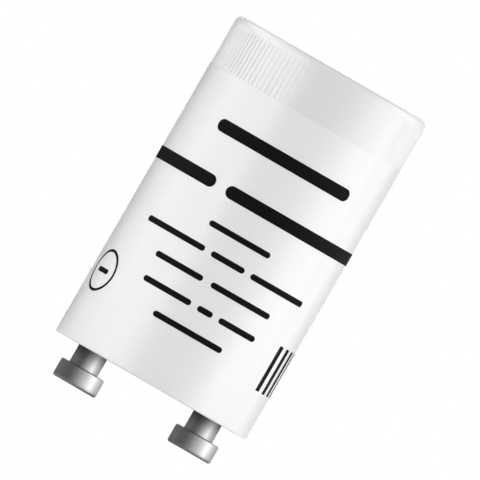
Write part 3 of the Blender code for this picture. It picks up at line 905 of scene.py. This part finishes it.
def floor_material(colour):
    """Pale floor that fades to the white background and keeps the starter's shadow, with a painted
    darker pool round the starter and painted light under the pins' ends.
    """
    material, tree, shader = principled("floor_paper", colour, roughness=0.9)
    shader.inputs["Specular IOR Level"].default_value = 0.0
    seen = seen_rays(tree)
    place = node(tree, "ShaderNodeTexCoord").outputs["Object"]
    away = node(tree, "ShaderNodeVectorMath", operation="LENGTH")
    feed(tree, away.inputs[0], place)
    # It glows more with the distance from the middle, in two steps that overlap: painted shade, a
    # darker pool round the starter that its reflections show too
    near_start, near_end, near_glow = 0.009, 0.025, 0.35
    far_start, far_end, far_glow = 0.02, 0.08, 0.55
    near = ramp(tree, Field(tree, away.outputs["Value"]), near_start, near_end)
    far = ramp(tree, Field(tree, away.outputs["Value"]), far_start, far_end)
    # Painted light: a brighter glow under the ends of the pins, which stand on it and would be
    # black from below
    end_radius, painted_end_light, least_glow = 0.0021, 0.4, 0.05
    spot = node(tree, "ShaderNodeSeparateXYZ", {"Vector": place})
    aside = abs(Field(tree, spot.outputs["X"])) - PIN_X
    y = Field(tree, spot.outputs["Y"])
    ends = 1.0 - (aside * aside + y * y > end_radius ** 2)
    glow = node(tree, "ShaderNodeEmission", {
        "Color": (1.0, 1.0, 1.0, 1.0),
        "Strength": seen * (far * far_glow + near * near_glow + ends * painted_end_light + least_glow)})
    total = node(tree, "ShaderNodeAddShader")
    feed(tree, total.inputs[0], shader.outputs[0])
    feed(tree, total.inputs[1], glow.outputs[0])
    # Clear from below, so that the underside can be seen
    below = node(tree, "ShaderNodeMixShader",
                 {"Fac": node(tree, "ShaderNodeNewGeometry").outputs["Backfacing"]})
    feed(tree, below.inputs[1], total.outputs[0])
    feed(tree, below.inputs[2], node(tree, "ShaderNodeBsdfTransparent").outputs[0])
    tree.links.new(below.outputs[0], tree.nodes["Material Output"].inputs["Surface"])
    return material


def make_floor():
    """A round floor with no edge in view, just under the pins."""
    radius, drop = 2.5, 0.00002
    shape = bmesh.new()
    bmesh.ops.create_circle(shape, cap_ends=True, segments=96, radius=radius)
    mesh = bpy.data.meshes.new("floor")
    shape.to_mesh(mesh)
    shape.free()
    mesh.transform(Matrix.Translation((0.0, 0.0, -drop)))
    mesh.materials.append(floor_material(bpy.context.scene.starter_colours.floor))
    floor = link(bpy.data.objects.new("floor", mesh))


def make_world(fill):
    """White to the camera and in reflections, an even fill otherwise."""
    world = bpy.data.worlds.new("studio")
    bpy.context.scene.world = world
    world.use_nodes = True
    tree = world.node_tree
    background = tree.nodes["Background"]
    background.inputs["Color"].default_value = (1.0, 1.0, 1.0, 1.0)
    feed(tree, background.inputs["Strength"], seen_rays(tree) * (1.0 - fill) + fill)


def softbox(name, azimuth, elevation, size, watts, target, distance=LAMP_DISTANCE):
    """A rectangular lamp aimed at a point; azimuth 0 is the camera's side."""
    light = bpy.data.lights.new(name, "AREA")
    light.shape = "RECTANGLE"
    light.size, light.size_y = size
    light.energy = watts
    item = link(bpy.data.objects.new(name, light))
    a, e = radians(azimuth), radians(elevation)
    away = Vector((sin(a) * cos(e), -cos(a) * cos(e), sin(e)))
    item.matrix_world = (Matrix.Translation(target + away * distance)
                         @ away.to_track_quat("Z", "Y").to_matrix().to_4x4())
    item.visible_camera = False
    return item


def wall(name, radius, middle, start, end, low, high, material, levels=((0, 0.0),)):
    """A curved wall round a point on X, with a glow on its points by their angle.

    It starts at the larger angle, so that its faces look outwards.
    """
    steps = 72
    degrees = [start + (end - start) * step / steps for step in range(steps + 1)]
    points, faces = [], []
    for angle in degrees:
        x, y = middle + radius * sin(radians(angle)), -radius * cos(radians(angle))
        points += [(x, y, low), (x, y, high)]
    for step in range(steps):
        first = 2 * step
        faces.append((first, first + 1, first + 3, first + 2))
    mesh = bpy.data.meshes.new(name)
    mesh.from_pydata(points, [], faces)
    glow = np.interp(np.repeat(degrees, 2), *zip(*levels))
    mesh.attributes.new("glow", "FLOAT", "POINT").data.foreach_set("value", glow)
    mesh.materials.append(material)
    item = link(bpy.data.objects.new(name, mesh))
    item.visible_camera = False
    return item


def one_sided(name, shader_of):
    """A material that is clear from the outside of a wall."""
    material = bpy.data.materials.new(name)
    material.use_nodes = True
    tree = material.node_tree
    tree.nodes.remove(tree.nodes["Principled BSDF"])
    side = node(tree, "ShaderNodeNewGeometry").outputs["Backfacing"]
    both = node(tree, "ShaderNodeMixShader", {"Fac": side})
    feed(tree, both.inputs[1], node(tree, "ShaderNodeBsdfTransparent").outputs[0])
    feed(tree, both.inputs[2], shader_of(tree).outputs[0])
    tree.links.new(both.outputs[0], tree.nodes["Material Output"].inputs["Surface"])
    return material


def card(name, shade, start, end):
    """A plain curved card round the starter; the camera looks through it."""
    paper = one_sided(name, lambda tree: node(
        tree, "ShaderNodeBsdfDiffuse", {"Color": (shade, shade, shade, 1.0)}))
    wall(name, CARD_RADIUS, 0.0, start, end, 0.0, CARD_HEIGHT, paper)


def tent(name, middle):
    """A light tent round a pin, brightest to the right: it gives the plating its bands."""
    plate_gap = 0.0001
    high = PLATE_LOW.z - plate_gap
    full_glow, rim_glow = 0.0027, 0.15

    def shine(tree):
        glow = Field(tree, node(tree, "ShaderNodeAttribute", attribute_name="glow").outputs["Fac"])
        place = node(tree, "ShaderNodeSeparateXYZ",
                     {"Vector": node(tree, "ShaderNodeTexCoord").outputs["Object"]})
        # Darker towards the rim, as under the real can
        lower = ramp(tree, Field(tree, place.outputs["Z"]), CAN_LOW.z, full_glow)
        lower = lower * (1.0 - rim_glow) + rim_glow
        return node(tree, "ShaderNodeEmission", {"Strength": glow * lower})

    paper = one_sided(name, shine)
    item = wall(name, TENT_RADIUS, middle, 130, -185, TENT_LOW, high, paper, TENT_GLOW)
    item.visible_diffuse = False


def make_camera(settings):
    """Parallel rays, square on to the can, rolled so that the starter leans."""
    data = bpy.data.cameras.new("camera")
    data.type = "ORTHO"
    data.ortho_scale = PHOTO_WIDTH * METRES_PER_PX
    camera = link(bpy.data.objects.new("camera", data))
    low, high = CAD_BOX
    middle = (Vector(low) + Vector(high)) / 2
    look = Vector((0.0, cos(settings.elevation), -sin(settings.elevation)))
    across = Vector((1.0, 0.0, 0.0))
    over = across.cross(look)
    right = across * cos(settings.lean) + over * sin(settings.lean)
    up = over * cos(settings.lean) - across * sin(settings.lean)
    half = PHOTO_WIDTH / 2
    shift = right * (half - STARTER_PX[0]) + up * (STARTER_PX[1] - half)
    place = middle + shift * METRES_PER_PX - look * settings.distance
    turn = Matrix((right, up, -look)).transposed().to_4x4()
    camera.matrix_world = Matrix.Translation(place) @ turn
    data.clip_start = 0.01
    data.clip_end = 10.0
    bpy.context.scene.camera = camera


class STARTER_OT_stage(bpy.types.Operator):
    """Set up the floor, the light and the camera"""

    bl_idname = "starter.make_stage"
    bl_label = "Stage"

    def execute(self, context):
        settings = context.scene.studio
        make_floor()
        make_world(settings.fill)
        card("back_left_card", shade=0.03, start=-125, end=-168)
        card("back_right_card", shade=0.5, start=168, end=125)
        tent("left_pin_tent", -PIN_X)
        tent("right_pin_tent", PIN_X)
        middle = Vector((0.0, 0.0, CAN_HIGH.z / 2))
        for number, (azimuth, weight) in enumerate(LAMP_BANK):
            bank = settings.left_power if azimuth < 0 else settings.right_power
            softbox(f"softbox_{number}", azimuth, LAMP_ELEVATION, LAMP_SIZE, bank * weight, middle)
        softbox("top_softbox", azimuth=10, elevation=76, size=(0.15, 0.15),
                watts=settings.top_power, target=middle)
        softbox("back_softbox", azimuth=180, elevation=LAMP_ELEVATION, size=(0.10, 0.11),
                watts=settings.back_power, target=middle)
        low = Vector((0.0, 0.0, STRIP_TARGET))
        for name, azimuth, watts in (("left_strip", -50, settings.left_strip_power),
                                     ("right_strip", 55, settings.right_strip_power)):
            softbox(name, azimuth, 0, STRIP_SIZE, watts, low, STRIP_DISTANCE)
        # Seen only in reflections: they light the rounded top edge
        for name, azimuth, watts in (("left_edge_lamp", -115, settings.left_edge_power),
                                     ("right_edge_lamp", 108, settings.right_edge_power)):
            lamp = softbox(name, azimuth, elevation=45, size=(0.15, 0.10), watts=watts,
                           target=middle)
            lamp.visible_diffuse = False
        make_camera(settings)
        context.scene.view_settings.view_transform = "Standard"
        return {"FINISHED"}


class STARTER_PT_panel(bpy.types.Panel):
    """Lists the starter's pieces"""

    bl_idname = "STARTER_PT_panel"
    bl_label = "Fluorescent starter"
    bl_space_type = "VIEW_3D"
    bl_region_type = "UI"
    bl_category = "Starter"

    def draw(self, context):
        for operator in OPERATORS:
            self.layout.operator(operator.bl_idname)


OPERATORS = (
    STARTER_OT_can, STARTER_OT_print, STARTER_OT_base_plate, STARTER_OT_contact_pins,
    STARTER_OT_inside, STARTER_OT_stage)
GROUPS = {
    "can_sizes": CanSizes, "print_sizes": PrintSizes, "pin_sizes": PinSizes,
    "starter_colours": StarterColours, "studio": StudioSettings}


def register():
    """Register the classes and hang the settings on the scene."""
    for group in (*GROUPS.values(), *OPERATORS, STARTER_PT_panel):
        bpy.utils.register_class(group)
    for name, group in GROUPS.items():
        setattr(bpy.types.Scene, name, PointerProperty(type=group))


def unregister():
    """Undo register."""
    for name in GROUPS:
        delattr(bpy.types.Scene, name)
    for group in (STARTER_PT_panel, *reversed(OPERATORS), *reversed(GROUPS.values())):
        bpy.utils.unregister_class(group)


def main():
    """Make every piece and the stage."""
    register()
    bpy.ops.starter.make_can()
    bpy.ops.starter.make_print()
    bpy.ops.starter.make_base_plate()
    bpy.ops.starter.make_contact_pins()
    bpy.ops.starter.make_inside()
    bpy.ops.starter.make_stage()


if __name__ == "__main__":
    main()
